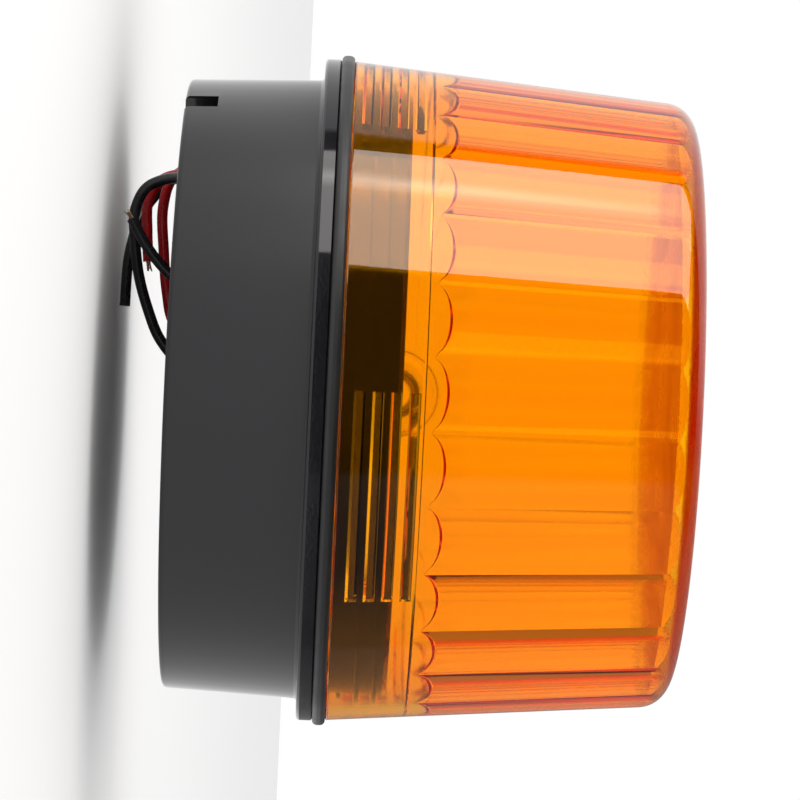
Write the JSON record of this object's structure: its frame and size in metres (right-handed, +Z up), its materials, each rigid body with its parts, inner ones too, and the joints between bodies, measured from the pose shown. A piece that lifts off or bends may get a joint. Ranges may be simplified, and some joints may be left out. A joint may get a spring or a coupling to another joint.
{
  "type": "amber warning beacon",
  "caption": "Round panel-mounted amber warning light: black base with cable leads, rubber ring and a fluted screw-on lens over a flash-tube circuit.",
  "frame": {"origin": "centre of the base's mounting face, the plane of the skirt's rim that bolts against a panel", "axes": "+Z up the lens axis, away from the panel; the leads lie towards -X, and a bolt hole is on +X"},
  "size_m": [0.125, 0.125, 0.1058],
  "materials": {
    "base_plastic": "glossy moulded black plastic with fine scuffs",
    "amber_lens": "clear amber polycarbonate, polished outside, fluted inside",
    "gasket_rubber": "matt black rubber",
    "zinc_steel": "zinc plated",
    "grommet_rubber": "soft matt rubber",
    "nylon": "natural nylon",
    "board_laminate": "green solder mask on glass-fibre laminate",
    "tube_ceramic": "unglazed white",
    "tube_glass": "clear polished glass",
    "nickel": "drawn nickel",
    "coil_varnish": "varnished winding",
    "ferrite": "dark grey ferrite",
    "winding_tape": "yellow polyester tape",
    "capacitor_sleeve": "black shrink sleeve",
    "film_case": "dipped brown-red case",
    "device_epoxy": "black moulding epoxy",
    "sink_aluminium": "extruded, plain",
    "resistor_body": "lacquered tan",
    "solder": "bright solder",
    "red_pvc": "satin PVC insulation",
    "black_pvc": "satin PVC insulation",
    "copper_strands": "tinned copper strands"
  },
  "bodies": {
    "base": {"base_housing": "base_plastic", "mount_bushes": "zinc_steel", "cable_grommet": "grommet_rubber", "strain_tie": "nylon", "circuit_board": "board_laminate", "board_screws": "zinc_steel", "tube_holder": "tube_ceramic", "flash_tube": "tube_glass", "tube_electrodes": "nickel", "trigger_bands": "nickel", "trigger_coil": "coil_varnish", "transformer_core": "ferrite", "transformer_winding": "winding_tape", "storage_capacitor": "capacitor_sleeve", "filter_capacitor": "capacitor_sleeve", "film_capacitors": "film_case", "power_transistor": "device_epoxy", "heat_sink": "sink_aluminium", "control_chip": "device_epoxy", "resistors": "resistor_body", "diodes": "device_epoxy", "solder_joints": "solder", "red_inner_lead": "red_pvc", "black_inner_leads": "black_pvc", "red_lead": "red_pvc", "black_lead": "black_pvc", "spare_lead": "black_pvc", "red_lead_strands": "copper_strands", "black_lead_strands": "copper_strands"},
    "ring": {"lens_gasket": "gasket_rubber"},
    "lens": {"lens": "amber_lens"}
  },
  "joints": [
    {"name": "lens_lift", "type": "slide", "parent": "base", "child": "ring", "axis": [0, 0, 1], "range_m": [0, 0.0113]},
    {"name": "lens_turn", "type": "hinge", "parent": "ring", "child": "lens", "pos_m": [0, 0, 0.0304], "axis": [0, 0, 1], "range_deg": [0, 1260]}
  ],
  "couplings": [
    {"joint": "lens_lift", "follows": "lens_turn", "m_per_rad": 0.0005093}
  ]
}
